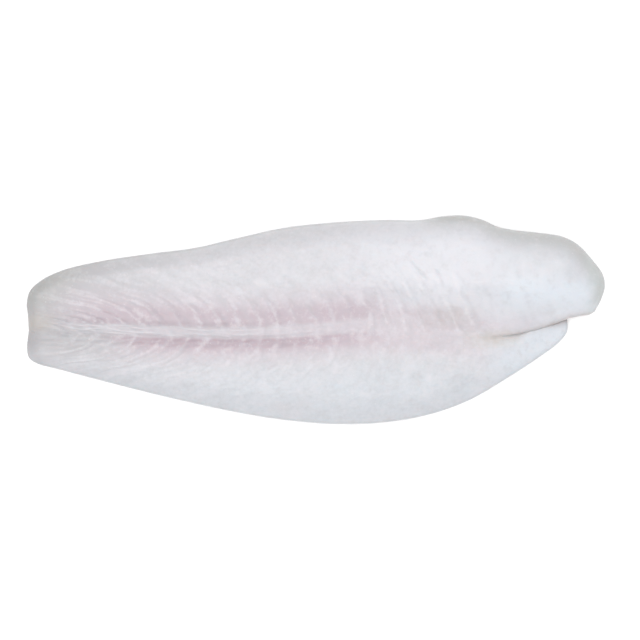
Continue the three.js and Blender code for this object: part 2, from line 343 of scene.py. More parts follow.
# %% [markdown]
# ## Rows that follow the muscle
#
# Fish muscle is a stack of folded blocks, one to each vertebra, which point at the head as
# chevrons. Building the surface from rows that leave the seam and sweep back as the chevrons do
# lets every ridge follow the mesh. The sweep says which share of the outline belongs to a share
# of the seam.

# %% The two sides of the seam
LOIN = SimpleNamespace(
    sign=1,
    edge=loin_edge,
    other_edge=belly_edge,
    seam=seam_and_lip,
    sweep=through([
        (0, 0), (0.08, 0.02), (0.2, 0.06), (0.28, 0.145), (0.32, 0.2), (0.4, 0.3), (0.48, 0.37),
        (0.65, 0.52), (0.83, 0.7), (0.95, 0.87), (1, 1),
    ]),
    height=LOIN_HEIGHT,
    round_scale=1,
    lip_bulge=0.72,
    lip_round=4.5,
)
BELLY = SimpleNamespace(
    sign=-1,
    edge=belly_edge,
    other_edge=loin_edge,
    seam=seam,
    sweep=through([
        (0, 0), (0.09, 0.025), (0.2, 0.08), (0.3, 0.17), (0.42, 0.305), (0.5, 0.4), (0.69, 0.605),
        (0.87, 0.825), (0.95, 0.925), (1, 1),
    ]),
    height=BELLY_HEIGHT,
    round_scale=1.35,
    lip_bulge=0.7,
    lip_round=6,
)
ROW_BOW = 0.1  # as a share of the row's length
STRAIGHT_ROWS = (0.55, 0.8)  # share of the seam over which the bow dies out

# %% [markdown]
# ## The relief of the muscle
#
# The surface between two sheets of tissue rises in a shallow step, steeper on its tail side. A
# cord of white tissue lies on the loin's side of the seam, a furrow on the belly's. These are
# the forms that the solid has too. The fine mesh adds what the solid is too coarse for: the thin
# edge of each sheet, streaks of fat beside it, the strands of the cord, a broken groove above it,
# the grain of the fibres and two small creases. The phase counts the blocks from the tail, with
# some chance added so that no two are alike.

# %% Blocks of muscle
MYOMERE = 8.1  # length of a block along the seam
PHASE_DRIFT = 0.13
DRIFT_LAYERS = [(1, 11, 9, 11), (0.5, 4, 3.5, 12)]
BLOCK_BLEND = (0.3, 0.7)


def share_of_length(x):
    """0 at the tail's cut, 1 at the head end."""
    return (x + HALF) / LENGTH


def block_phase(x, y, distance):
    """Which block of muscle a point is in: whole numbers are the sheets between them."""
    return distance / MYOMERE + PHASE_DRIFT * layered(x, y, DRIFT_LAYERS)


def per_block(phase, sign, seed):
    """A random strength from 0 to 1 for each block, blended over its sheet."""
    strength = np.random.default_rng(seed + sign).uniform(0, 1, NOISE_CELLS)
    shifted = phase + 0.5
    block = np.floor(shifted).astype(int)
    blend = smooth(*BLOCK_BLEND, shifted - block)
    return mix(strength[block % NOISE_CELLS], strength[(block + 1) % NOISE_CELLS], blend)


print("blocks along the seam:", round(seam.length / MYOMERE))

# %% Sheets and streaks
SHEET_SEED = 23
SHEET_CHANCE = (0.6, 1.2)  # strength of the weakest and the strongest sheet
SHEET_ALONG = through([
    (0, 0), (0.04, 0.3), (0.1, 1), (0.4, 1), (0.6, 0.8), (0.75, 0.8), (0.85, 0.3), (1, 0),
])
SHEET_REACH = through([(0, 22), (0.3, 25), (0.5, 26), (0.7, 36), (1, 34)])  # away from the seam
SHEET_FADE = (0.5, 1)  # of that reach
BREAK_LAYERS = [(1, 1 / 2.1, 3.2, 22)]  # lengths along the seam are in blocks
BREAK_LIMITS = (-0.9, 0.4)
BELLY_SHEETS_END = (0.5, 0.68)  # share of the length over which they fade on the belly's side
BELLY_GAP_PLACE = (0, 6)  # near the tail none of them reaches the seam on that side
BELLY_GAP_END = (0.14, 0.22)
STREAK_LAYERS = [(0.55, 1 / 2.3, 5, 51), (0.6, 1 / 4.9, 3.5, 52)]
STREAK_FADE = (20, 42)
STREAKS_LEFT = 0.2  # strength of the streaks that is left beyond the fade
STREAK_ALONG = through([
    (0, 0.1), (0.05, 0.6), (0.1, 1), (0.3, 0.9), (0.5, 0.7), (0.7, 0.9), (0.82, 0.4), (1, 0.3),
])


def sheet_strength(place, phase, offset, sign):
    """How clearly a sheet of tissue shows: it breaks up, and fades away from the seam."""
    share = share_of_length(place[:, 0])
    reach = np.abs(offset) / SHEET_REACH(share)
    fade = SHEET_ALONG(share) * (1 - smooth(*SHEET_FADE, reach))
    if sign < 0:
        by_seam = bump(offset, *BELLY_GAP_PLACE) * (1 - smooth(*BELLY_GAP_END, share))
        fade = fade * (1 - smooth(*BELLY_SHEETS_END, share)) * (1 - by_seam)
    broken = smooth(*BREAK_LIMITS, layered(phase, offset, BREAK_LAYERS))
    return fade * broken * mix(*SHEET_CHANCE, per_block(phase, sign, SHEET_SEED))


def streaks(place, phase, offset):
    """Fine strokes that lie along the sheets, between -1 and 1."""
    strokes = layered(phase, offset, STREAK_LAYERS)
    near_seam = mix(1, STREAKS_LEFT, smooth(*STREAK_FADE, np.abs(offset)))
    return strokes * STREAK_ALONG(share_of_length(place[:, 0])) * near_seam


# %% Chevrons
STEP_HEIGHT = 0.5
STEP_SEED = 21
STEP_CHANCE = (0.6, 1.1)  # strength of the weakest and the strongest step
STEP_SKEW = 0.75  # below 1, a step is steeper on its tail side
STEP_RISE = (1, 5)  # distance from the seam
STEP_FADE = (10, 30)
STEP_ALONG = through([(0, 0.2), (0.08, 1), (0.45, 1), (0.62, 0.5), (0.78, 0.4), (0.9, 0), (1, 0)])
BELLY_STEPS = 0.55  # strength of the belly's steps past the tail
BELLY_STEPS_WEAKEN = (0.15, 0.3)
SHEET_HEIGHT = 0.1
SHEET_HALF_WIDTH = 0.15  # of a block's length
STREAK_HEIGHT = 0.055


def chevrons(place, side, from_seam, phase, offset):
    """The blocks' steps, with the edges of the sheets and the streaks on them."""
    share = share_of_length(place[:, 0])
    within = phase - np.floor(phase)
    crest = np.sin(np.pi * within**STEP_SKEW)
    strength = mix(*STEP_CHANCE, per_block(phase, side.sign, STEP_SEED))
    if side is BELLY:
        strength = strength * mix(1, BELLY_STEPS, smooth(*BELLY_STEPS_WEAKEN, share))
    step = STEP_HEIGHT * STEP_ALONG(share) * (1 - smooth(*STEP_FADE, from_seam)) * crest
    to_sheet = np.minimum(within, 1 - within)
    sheet = SHEET_HEIGHT * bump(to_sheet, 0, SHEET_HALF_WIDTH)
    sheet = sheet * sheet_strength(place, phase, offset, side.sign)
    stroke = STREAK_HEIGHT * streaks(place, phase, offset)
    return smooth(*STEP_RISE, from_seam) * (strength * step + sheet + stroke)


# %% The strands of the cord
STRAND_PITCH = 1.9
STRAND_TURN = 0.5  # how many pitches a strand may wander
TURN_LAYERS = [(1, 7, 2.5, 33), (0.4, 2.5, 1, 34)]
STRAND_BREAKS = [(1, 5, 1.2, 35)]
STRAND_LIMITS = (-0.6, 0.4)


def strands(x, offset):
    """The cord's strands, between -1 and 1: they cross, split and stop."""
    turn = STRAND_TURN * layered(x, offset, TURN_LAYERS)
    weave = np.sin(2 * np.pi * (offset / STRAND_PITCH + turn))
    return weave * smooth(*STRAND_LIMITS, layered(x, offset, STRAND_BREAKS))


# %% Cord, furrow and the groove above the cord
WANDER = [(0.4, 9, 1, 31)]
FURROW_DEPTH = 0.6
FURROW_PLACE = (-2, 2.9)  # middle and half width, square to the seam
FURROW_DEPTHS = (0.5, 1.1)  # share of the depth at a sheet, and in the middle of a block
FURROW_ALONG = through([
    (0, 0.2), (0.08, 1), (0.45, 1), (0.6, 0.3), (0.76, 0.15), (0.84, 0.5), (1, 0.5),
])
CORD_HEIGHT = 0.5
CORD_PLACE = (2.8, 3.0)
CORD_FLANK = (0, 0.7)
CORD_LUMPS = [(0.25, 3.1, 1, 32)]
CORD_ALONG = through([
    (0, 0.1), (0.07, 0.8), (0.12, 1), (0.42, 1), (0.5, 0.5), (0.62, 0.1), (0.7, 0), (1, 0),
])
STRAND_HEIGHT = 0.08
GROOVE_DEPTH = 0.25
GROOVE_PLACE = (6.0, 1.5)
GROOVE_DASHES = [(1, 3.4, 1, 36)]
DASH_LIMITS = (-0.1, 0.5)
GROOVE_ALONG = through([(0, 0.2), (0.05, 0.8), (0.2, 0.9), (0.4, 0.6), (0.5, 0), (1, 0)])
SEAM_CREASE_DEPTH = 0.45
SEAM_CREASE_PLACE = (0, 1.3)
SEAM_CREASE_ALONG = through([(0, 0), (0.77, 0), (0.83, 1), (1, 1)])


def middle_line(place, offset, phase):
    """What stands out of the seam or sinks into it. The middle line wanders a little."""
    x = place[:, 0]
    share = share_of_length(x)
    wandering = offset - layered(x, 0 * x, WANDER)
    within = np.sin(np.pi * (phase - np.floor(phase)))
    furrow = FURROW_DEPTH * FURROW_ALONG(share) * bump(wandering, *FURROW_PLACE)
    furrow = furrow * mix(*FURROW_DEPTHS, within)
    lumpy = CORD_HEIGHT * (1 + layered(x, 0 * x, CORD_LUMPS))
    body = CORD_ALONG(share) * smooth(*CORD_FLANK, bump(wandering, *CORD_PLACE))
    cord = body * (lumpy + STRAND_HEIGHT * strands(x, offset))
    dashes = smooth(*DASH_LIMITS, layered(x, 0 * x, GROOVE_DASHES))
    groove = GROOVE_DEPTH * GROOVE_ALONG(share) * bump(wandering, *GROOVE_PLACE) * dashes
    crease = SEAM_CREASE_DEPTH * SEAM_CREASE_ALONG(share) * bump(offset, *SEAM_CREASE_PLACE)
    return cord - furrow - groove - crease


# %% Unevenness, grain and creases
SWELL = 0.45
LUMP_LAYERS = [(0.12, 6, 5, 41), (0.07, 2.7, 2.1, 42), (0.04, 1.3, 1.2, 44)]
FIBRE_HEIGHT = 0.035
FIBRE_SEED = 43
CREASES = [((43.0, 25.7), (49.3, 18.5)), ((53.8, 22.1), (56.0, 19.8))]
CREASE_DEPTH = 0.35
CREASE_HALF_WIDTH = 0.9


def swell(x, y):
    """Two crossed waves, 60 to 80 mm long, and a shorter one of 40 mm."""
    broad = np.sin(x / 13 + 0.6 * np.sin(y / 9)) * np.cos(y / 11 + x / 31)
    return broad + 0.5 * np.sin(x / 6.3 - y / 7.1)


def unevenness(place):
    """The swell, lumps and pits, and fibres that run slightly askew."""
    x, y = place.T
    fibres = FIBRE_HEIGHT * noise(x / 3.6 + y / 5, y / 0.9 - x / 14, FIBRE_SEED)
    return SWELL * swell(x, y) + layered(x, y, LUMP_LAYERS) + fibres


def creases(place):
    """How deep the short creases in the loin are."""
    depth = 0
    for start, end in CREASES:
        gap = Line(np.array([start, end])).distance_from(place)
        depth = depth + CREASE_DEPTH * bump(gap, 0, CREASE_HALF_WIDTH)
    return depth


middle_of_crease = np.mean(CREASES[0], axis=0)
print("depth of a crease:", creases(middle_of_crease[None]).round(2)[0], "mm")

# %% [markdown]
# ## One row
#
# A row runs from the seam over the top to the outline, round under the edge and back along the
# underside to below the seam. Its columns are spread by how much room each place may take: they
# stand close by the seam, closer still where the edge turns down, and further apart between.

# %% Where a row's columns stand
TOP_COLUMNS = 80
UNDER_COLUMNS = 8
BOTTOM_COLUMNS = 10
SAMPLES_PER_COLUMN = 6
WIDEST_STEP = 0.9
SEAM_STEP = 0.35
SEAM_STEP_GROWS = 0.05  # for each millimetre from the seam
ROUND_STEP = 0.34  # times the root of the distance, which gives equal steps round a curve
FIRST_ROUND_STEP = 0.03


def columns_of(row_length, is_open):
    """Where along a row its columns stand."""
    distance = np.linspace(0, row_length, SAMPLES_PER_COLUMN * TOP_COLUMNS)
    by_edge = FIRST_ROUND_STEP + ROUND_STEP * np.sqrt(row_length - distance)
    by_lip = FIRST_ROUND_STEP + ROUND_STEP * np.sqrt(distance)
    by_seam = mix(SEAM_STEP + SEAM_STEP_GROWS * distance, by_lip, is_open)
    room = np.minimum(np.minimum(by_edge, by_seam), WIDEST_STEP)
    count = np.concatenate([[0], np.cumsum(2 / (room[1:] + room[:-1]))])
    wanted = np.linspace(0, count[-1], TOP_COLUMNS + 1)
    return np.interp(wanted, count, distance)


print("columns on a 50 mm row:", columns_of(50, 0)[:4].round(2), columns_of(50, 0)[-4:].round(2))

# %% Where a row runs
BOW_SCALE = 27 / 4  # makes the bow's highest point 1
TINY = 1e-9  # keeps a row of no length from being divided by


def turned_left(vector, sign):
    return np.array([sign * vector[1], -sign * vector[0]])


def belly_tuck(is_open, slant):
    """How far the belly's lip reaches under the loin's, so that the cut's walls are parallel."""
    return max(0, slant * (1 - mix(1, BELLY_LIP_SHARE, is_open)) - CUT_GAP * is_open)


def row_from_above(side, distance):
    """Where a row starts, runs and ends, and how the cut stands beside it."""
    share = np.clip(distance / side.seam.length, 0, 1)
    outline_distance = side.sweep(share) * side.edge.length
    end = side.edge.at(outline_distance)
    root = end if share in (0, 1) else seam_and_lip.at(distance)
    is_open = float(cut_open(distance))
    slant = min(cut_slant(distance), NARROWEST * math.dist(root, end))
    across = -turned_left(seam_and_lip.heading(distance), 1)
    start = root + across * (belly_tuck(is_open, slant) if side is BELLY else 0)

    length = math.dist(start, end)
    along = (end - start) / max(length, TINY)
    from_seam = columns_of(length, is_open) if length > 0 else np.zeros(TOP_COLUMNS + 1)
    t = from_seam / max(length, TINY)
    bow = ROW_BOW * length * (1 - smooth(*STRAIGHT_ROWS, share)) * BOW_SCALE * t * (1 - t) ** 2
    headward = turned_left(along, side.sign)
    place = start + from_seam[:, None] * along + bow[:, None] * headward
    foot_reach = slant if side is LOIN else max(0, slant - CUT_GAP * is_open)
    return SimpleNamespace(
        distance=distance, outline_distance=outline_distance, place=place, from_seam=from_seam,
        length=length, foot=np.append(root + across * foot_reach, 0), is_open=is_open,
    )


# %% The height of the top
SMOOTH_MARGIN = 6  # width beside the outline, or beside a lip, over which relief dies out


def distance_to_outline(side, row):
    own = side.edge.distance_from(row.place)
    other = side.other_edge.distance_from(row.place)
    return mix(np.minimum(own, other), own, row.is_open)


def offset_from_seam(side, row):
    """Distance square to the seam, positive on the loin's side."""
    return side.sign * mix(seam_and_lip.distance_from(row.place), row.from_seam, row.is_open)


def top_height(side, row):
    """The body of the meat, rounded at the outline and at a lip, with the relief on it."""
    share = share_of_length(row.place[:, 0])
    past_root = smooth(cut_root, side.seam.length, row.distance)
    crest = smooth(-LIP_THICKENS * past_root, CREST, row.from_seam / max(row.length, 1))
    body = mix(SEAM_HEIGHT(share), side.height(share), crest)
    edge_round = EDGE_ROUND(share) * mix(1, side.round_scale, crest)
    edge_shape = mix(BULGE, 1, quarter_round(row.to_edge / edge_round))
    lip = mix(1, side.lip_bulge, row.is_open)
    lip_shape = mix(lip, 1, quarter_round(row.from_seam / side.lip_round))
    near_lip = row.is_open * (1 - smooth(0, SMOOTH_MARGIN, row.from_seam))
    clear = smooth(0, SMOOTH_MARGIN, row.to_edge) * (1 - near_lip)
    relief = chevrons(row.place, side, row.from_seam, row.phase, row.offset)
    relief = relief + middle_line(row.place, row.offset, row.phase)
    relief = relief + unevenness(row.place) - creases(row.place)
    return body * np.maximum(BULGE, edge_shape * lip_shape) + clear * relief


# %% Make a row
SIDE_TURN = np.linspace(0, np.pi / 2, UNDER_COLUMNS + 1)[1:]  # round from the bulge to the table
INWARDS = np.linspace(0, 1, BOTTOM_COLUMNS + 1)[1:]


def make_row(side, distance):
    """A row with the points all round it, and what the finish needs to know at each of them."""
    row = row_from_above(side, distance)
    row.phase = block_phase(*row.place.T, distance)
    row.to_edge = distance_to_outline(side, row)
    row.offset = offset_from_seam(side, row)
    row.top = np.column_stack([row.place, top_height(side, row)])
    rim = row.top[-1]
    inward = turned_left(side.edge.heading(row.outline_distance), side.sign)
    reach = min(UNDERCUT, NARROWEST * row.length)
    row.under = np.column_stack([
        rim[:2] + reach * (1 - np.cos(SIDE_TURN))[:, None] * inward,
        rim[2] * (1 - np.sin(SIDE_TURN)),
    ])
    row.bottom = mix(row.under[-1], row.foot, INWARDS[:, None])
    row.wall = mix(row.top[0], row.foot, np.sin(SIDE_TURN)[:, None])
    return row


middle_row = make_row(LOIN, seam.length / 2)
print("height in the middle of the fillet:", middle_row.top[0, 2].round(1), "mm in the seam,",
      middle_row.top[:, 2].max().round(1), "mm at the loin's crest")

# %% [markdown]
# ## The mesh
#
# The rows stand about as far apart as their columns do. Up to the root of the cut both sides have
# the same rows, so they meet point for point in the seam. Past it each side has rows and a wall of
# its own. Points that fall on each other are then joined, which closes the surface.

# %% Rows from tail to head
ROW_STEP = 0.62
ROW_STEP_ON_OUTLINE = 1.0
TIP_ROWS = (0.05, 0.15, 0.35, 0.65)  # distances from a tip, up to where the even rows start
TIP_LENGTH = 1
SEAM_SAMPLES = 2000


def row_distances(side, start, end):
    """Distances along the seam, closer together where the rows fan out towards the outline."""
    distance = np.linspace(start, end, SEAM_SAMPLES)
    share = distance / side.seam.length
    on_outline = np.gradient(side.sweep(share) * side.edge.length, distance)
    rows_per_mm = np.maximum(1 / ROW_STEP, on_outline / ROW_STEP_ON_OUTLINE)
    count = np.concatenate([[0], np.cumsum((rows_per_mm[1:] + rows_per_mm[:-1]) / 2)])
    count = count * (distance[1] - distance[0])
    wanted = np.linspace(0, count[-1], math.ceil(count[-1]) + 1)
    return np.interp(wanted, count, distance)


before_cut = np.concatenate([[0], TIP_ROWS, row_distances(LOIN, TIP_LENGTH, cut_root)])
after_cut = {}
for name, side in (("loin", LOIN), ("belly", BELLY)):
    length = side.seam.length
    rows = row_distances(side, cut_root, length - TIP_LENGTH)
    after_cut[name] = np.concatenate([rows, length - np.array(TIP_ROWS)[::-1], [length]])
    print(name, "rows:", len(before_cut) + len(after_cut[name]) - 1)

# %% What the finish needs to know at each point
LIP_STAIN = 0.55
LIP_STAIN_WIDTH = 2.2
FIELDS = ("phase", "offset", "to_edge", "in_cut", "under", "sheets", "streaks", "strands")
COLUMN = {name: i for i, name in enumerate(FIELDS)}


def fields_of_bottom(side, row, top):
    """The fields on the underside, from the outline back to the seam."""
    bottom = np.repeat(top[-1:], BOTTOM_COLUMNS, axis=0)
    for name in ("phase", "offset", "to_edge"):
        i = COLUMN[name]
        bottom[:, i] = mix(top[-1, i], top[0, i], INWARDS)
    bottom[:, COLUMN["under"]] = 1
    below = row.bottom, bottom[:, COLUMN["phase"]], bottom[:, COLUMN["offset"]]
    bottom[:, COLUMN["sheets"]] = sheet_strength(*below, side.sign)
    bottom[:, COLUMN["streaks"]] = streaks(*below)
    return bottom


def fields_of(side, row):
    """The finish's fields at each point of a row's top, side, underside and wall."""
    phase, offset = row.phase, row.offset
    stain = LIP_STAIN * row.is_open * (1 - smooth(0, LIP_STAIN_WIDTH, np.abs(offset)))
    sheets = sheet_strength(row.place, phase, offset, side.sign)
    top = np.column_stack([
        phase, offset, row.to_edge, stain, 0 * stain, sheets, streaks(row.place, phase, offset),
        strands(row.place[:, 0], offset),
    ])
    under = np.repeat(top[-1:], UNDER_COLUMNS, axis=0)
    under[:, COLUMN["under"]] = np.linspace(0, 1, UNDER_COLUMNS + 1)[1:]
    wall = np.repeat(top[:1], UNDER_COLUMNS, axis=0)
    wall[:, COLUMN["in_cut"]] = mix(top[0, COLUMN["in_cut"]], 1, np.sin(SIDE_TURN))
    return top, under, fields_of_bottom(side, row, top), wall


# %% Build the two sides


def sheet_of_rows(side, distances, with_wall):
    """Points and fields of neighbouring rows, as grids, and the side that they are on."""
    loops, fields, walls, wall_fields = [], [], [], []
    for distance in distances:
        row = make_row(side, distance)
        top, under, bottom, wall = fields_of(side, row)
        loops.append(np.vstack([row.top, row.under, row.bottom]))
        fields.append(np.vstack([top, under, bottom]))
        walls.append(np.vstack([row.top[:1], row.wall])[::-1])
        wall_fields.append(np.vstack([top[:1], wall])[::-1])
    grids = [(np.array(loops), np.array(fields))]
    if with_wall:
        grids.append((np.array(walls), np.array(wall_fields)))
    return [(points, values, side.sign) for points, values in grids]


grids = []
for name, side in (("loin", LOIN), ("belly", BELLY)):
    grids += sheet_of_rows(side, before_cut, False)
    grids += sheet_of_rows(side, after_cut[name], True)
print("squares:", sum((p.shape[0] - 1) * (p.shape[1] - 1) for p, _, _ in grids))

# %% Join them into one closed mesh
JOIN_WITHIN = 1e-4  # mm


def triangles_of(grid_shape, first_index, sign):
    """Two triangles for every square of a grid, facing out on either side of the seam."""
    rows, columns = grid_shape
    index = first_index + np.arange(rows * columns).reshape(rows, columns)
    a, b = index[:-1, :-1].ravel(), index[1:, :-1].ravel()
    c, d = index[1:, 1:].ravel(), index[:-1, 1:].ravel()
    faces = np.vstack([np.column_stack([a, b, d]), np.column_stack([b, c, d])])
    return faces if sign > 0 else faces[:, ::-1]


def join_grids(grids):
    """One mesh of all the grids, without the triangles that joining has made flat."""
    points = np.vstack([p.reshape(-1, 3) for p, _, _ in grids])
    values = np.vstack([v.reshape(-1, len(FIELDS)) for _, v, _ in grids])
    faces, first = [], 0
    for p, _, sign in grids:
        faces.append(triangles_of(p.shape[:2], first, sign))
        first += p.shape[0] * p.shape[1]
    cells = np.round(points / JOIN_WITHIN).astype(np.int64)
    _, kept, joined = np.unique(cells, axis=0, return_index=True, return_inverse=True)
    faces = joined.ravel()[np.vstack(faces)]
    a, b, c = faces.T
    whole = (a != b) & (b != c) & (c != a)
    return points[kept], values[kept], faces[whole]


points, values, faces = join_grids(grids)
print("points:", len(points), "triangles:", len(faces))

# %% Make the Blender object
MM = 0.001


def centred(points):
    """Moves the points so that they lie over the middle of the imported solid."""
    middle = (points.min(axis=0) + points.max(axis=0)) / 2
    low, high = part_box(NODE)
    target = (np.array(low) + np.array(high)) / 2
    shift = target / MM - middle
    shift[2] = 0
    return points + shift


def make_fillet(points, values, faces):
    mesh = bpy.data.meshes.new("fillet_flesh")
    mesh.from_pydata((centred(points) * MM).tolist(), [], faces.tolist())
    for i, name in enumerate(FIELDS):
        layer = mesh.attributes.new(name, "FLOAT", "POINT")
        layer.data.foreach_set("value", values[:, i].astype(np.float32))
    mesh.polygons.foreach_set("use_smooth", np.ones(len(faces), bool))
    fillet = bpy.data.objects.new("fillet_flesh", mesh)
    bpy.context.scene.collection.objects.link(fillet)
    return fillet


fillet = make_fillet(points, values, faces)
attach(fillet, "root")
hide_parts(NODE)
check = bmesh.new()
check.from_mesh(fillet.data)
print("open edges:", sum(not edge.is_manifold for edge in check.edges),
      "volume in cc:", round(check.calc_volume(signed=True) * 1e6, 1))
check.free()

# %% [markdown]
# ## Shader maths as Python
#
# A material's colour is worked out from fields that vary over the meat. Wrapping an output socket
# in a small class lets those sums be written as ordinary Python: each operator adds its Math node.

# %% A socket that can be used in sums
MIX_FACTOR, MIX_FROM, MIX_TO, MIX_RESULT = 0, 6, 7, 2  # by number, as several share a name


class Field:
    """An output socket of a material's node, usable in Python expressions."""

    def __init__(self, output):
        self.output = output

    def node(self, kind, settings=None, sockets=None, output=0):
        """Adds a node: its settings first, then the values or links of its sockets."""
        tree = self.output.id_data
        new = tree.nodes.new(kind)
        for name, value in (settings or {}).items():
            setattr(new, name, value)
        for key, value in (sockets or {}).items():
            if isinstance(value, Field):
                tree.links.new(value.output, new.inputs[key])
            else:
                new.inputs[key].default_value = value
        return Field(new.outputs[output])

    def math(self, operation, *values):
        return self.node("ShaderNodeMath", {"operation": operation}, dict(enumerate(values)))

    def __add__(self, other):
        return self.math("ADD", self, other)

    def __radd__(self, other):
        return self.math("ADD", other, self)

    def __sub__(self, other):
        return self.math("SUBTRACT", self, other)

    def __rsub__(self, other):
        return self.math("SUBTRACT", other, self)

    def __mul__(self, other):
        return self.math("MULTIPLY", self, other)

    def __rmul__(self, other):
        return self.math("MULTIPLY", other, self)

    def rise(self, start, end):
        """0 where the field is below start, 1 above end, or the other way round if end is lower."""
        settings = {"interpolation_type": "SMOOTHSTEP", "clamp": True}
        if start > end:
            return 1 - self.rise(end, start)
        limits = {"Value": self, "From Min": start, "From Max": end}
        return self.node("ShaderNodeMapRange", settings, limits)

    def hump(self, centre, half_width):
        """1 at the centre, falling softly to 0 at half_width from it."""
        away = self.math("ABSOLUTE", self - centre)
        return away.rise(half_width, 0)

    def noise(self, scale, detail=2, roughness=0.5):
        """Noise from 0 to 1 at the places that this vector holds."""
        sockets = {"Vector": self, "Scale": scale, "Detail": detail, "Roughness": roughness}
        return self.node("ShaderNodeTexNoise", {"noise_dimensions": "3D"}, sockets)

    def tint(self, other, mask):
        """This colour, changed towards another one where the mask is 1."""
        settings = {"data_type": "RGBA", "clamp_factor": True}
        sockets = {MIX_FACTOR: mask, MIX_FROM: self, MIX_TO: other}
        return self.node("ShaderNodeMix", settings, sockets, output=MIX_RESULT)


# %% [markdown]
# ## The finish of raw fish
#
# Raw white fish is pale and slightly see-through: light enters, spreads a few millimetres and
# comes out again, reddest where it went deepest. Subsurface scattering does that. Its surface is
# wet, which a thin clear coat shows. Nearly all of what the eye reads is a change of colour by a
# few hundredths, so each colour is written as it should show, and divided by how much the light
# brightens level meat.

# %% Colours
LIGHT_ON_MEAT = 1.71  # how much brighter than its own colour the light shows level meat


def linear(red, green, blue):
    """The colour of meat that shows as a display colour of 0 to 255 under this lesson's light."""
    channels = [c / 255 for c in (red, green, blue)]
    # The next line undoes the curve that displays put on brightness.
    lit = [c / 12.92 if c <= 0.04045 else ((c + 0.055) / 1.055) ** 2.4 for c in channels]
    return (*(c / LIGHT_ON_MEAT for c in lit), 1)


PALE = linear(226, 225, 230)
BRIGHT = linear(237, 237, 243)
COOL_WHITE = linear(222, 229, 236)
COOL_WHITE_AND_PAINTED_LIGHT = linear(239, 245, 253)
GREEN_WHITE = linear(216, 223, 222)
TAIL_GREY = linear(198, 195, 198)
EDGE_SHADE_AND_GREY = linear(196, 196, 194)
RIM_SHADE = linear(160, 160, 162)
GREY_MEAT = linear(204, 202, 206)
SHADE = linear(188, 184, 190)
LILAC = linear(219, 207, 215)
PALE_PINK = linear(219, 200, 209)
PINK = linear(204, 184, 194)
PINK_GROOVE_SHADE = linear(190, 167, 176)
WHITE_TISSUE_AND_GLINTS = linear(246, 243, 248)
CORD_GREY = linear(214, 212, 218)
TAN = linear(211, 203, 193)
BROWN_STAIN_AND_SHADE = linear(184, 174, 168)
CUT_WALL = linear(222, 212, 212)
print("pale meat in the shader:", [round(channel, 3) for channel in PALE[:3]])

# %% [markdown]
# ## What varies over the meat
#
# The mesh carries what follows the muscle: how far a point is from the seam and from the outline,
# which block it is in, and where the sheets, streaks and strands are. Noise of several sizes adds
# what is different everywhere. Both are fixed to the meat, so nothing slides when the camera
# moves.

# %% Fields of the meat
# Hills to the millimetre, how much finer detail the noise has, and how strong that detail is.
NOISES = {"broad": (0.045, 3), "mottle": (0.22, 4, 0.65), "fine": (0.6, 4, 0.7), "specks": (1.1, 1)}
GRAIN = (1.0, 4, 0.6)
GRAIN_STRETCH = (0.25, 1.1, 1)  # under 1 is longer
SHEET_WAVER = 0.16
SHEET_SPREAD = (0.2, 0)  # how near a sheet is, as a share of a block
BEHIND_SHEET = (0.3, 0.16)


def fields_of_meat(tree):
    """Everything that the colours are worked out from, by name."""
    place = Field(tree.nodes.new("ShaderNodeTexCoord").outputs["Object"])
    in_mm = place.node("ShaderNodeVectorMath", {"operation": "SCALE"}, {0: place, "Scale": 1 / MM})
    x = in_mm.node("ShaderNodeSeparateXYZ", {}, {"Vector": in_mm})
    meat = SimpleNamespace(x=x, y=Field(x.output.node.outputs["Y"]))
    for name in FIELDS:
        setattr(meat, name, place.node("ShaderNodeAttribute", {"attribute_name": name}, output="Fac"))
    for name, settings in NOISES.items():
        setattr(meat, name, in_mm.noise(*settings) - 0.5)
    lengthwise = {0: in_mm, 1: GRAIN_STRETCH}
    stretched = in_mm.node("ShaderNodeVectorMath", {"operation": "MULTIPLY"}, lengthwise)
    meat.grain = stretched.noise(*GRAIN) - 0.5
    within = meat.phase.math("FRACT", meat.phase)
    to_sheet = 0.5 - within.math("ABSOLUTE", within - 0.5)
    waver = meat.mottle * SHEET_WAVER
    meat.sheet = (to_sheet + waver).rise(*SHEET_SPREAD) * meat.sheets
    meat.behind_sheet = (within + waver).hump(*BEHIND_SHEET) * meat.sheets
    return meat


# %% [markdown]
# ## Pink beside the seam
#
# Blood runs along the middle of a side of fish, so its muscle is pink there. The pink lies in two
# bands, above the cord and below it, and the white sheets between the blocks break it up. A faint
# lilac surrounds it. Each area below is a list of soft limits, because they are easy to move and
# to read: a field, where the mask is 0 and where it is full, in millimetres. The offset is the
# distance from the seam, positive on the loin's side. x runs from -130 at the tail to 130 at the
# head end.

# %% Lilac round the seam
LOIN_HALO = ("offset", 26, 13), ("offset", 2, 6), ("x", -128, -98), ("x", 45, 15)
BELLY_HALO = ("offset", 6, 2), ("offset", -15, -5), ("x", -105, -75), ("x", 45, 15)
LIP_HALO = ("offset", -3, 4), ("offset", 11, 4), ("x", 64, 76), ("x", 108, 94)


def area(meat, limits):
    """1 inside all of an area's soft limits, 0 outside any of them."""
    return math.prod(getattr(meat, name).rise(start, end) for name, start, end in limits)


def halo_of(meat):
    """A lilac blush, which starts further from the tail on the belly's side."""
    return area(meat, LOIN_HALO) + area(meat, BELLY_HALO) + 0.5 * area(meat, LIP_HALO)


# %% Pink bands
LOIN_BAND = ("offset", 4.4, 7), ("offset", 17, 10), ("x", -114, -90), ("x", 42, 12)
BELLY_BAND = ("offset", 0.4, -1.2), ("offset", -8.5, -3.5), ("x", -93, -76), ("x", 42, 12)
BLUSH = ("offset", 15, 8), ("offset", -13, -6), ("x", 12, 42), ("x", 96, 50)


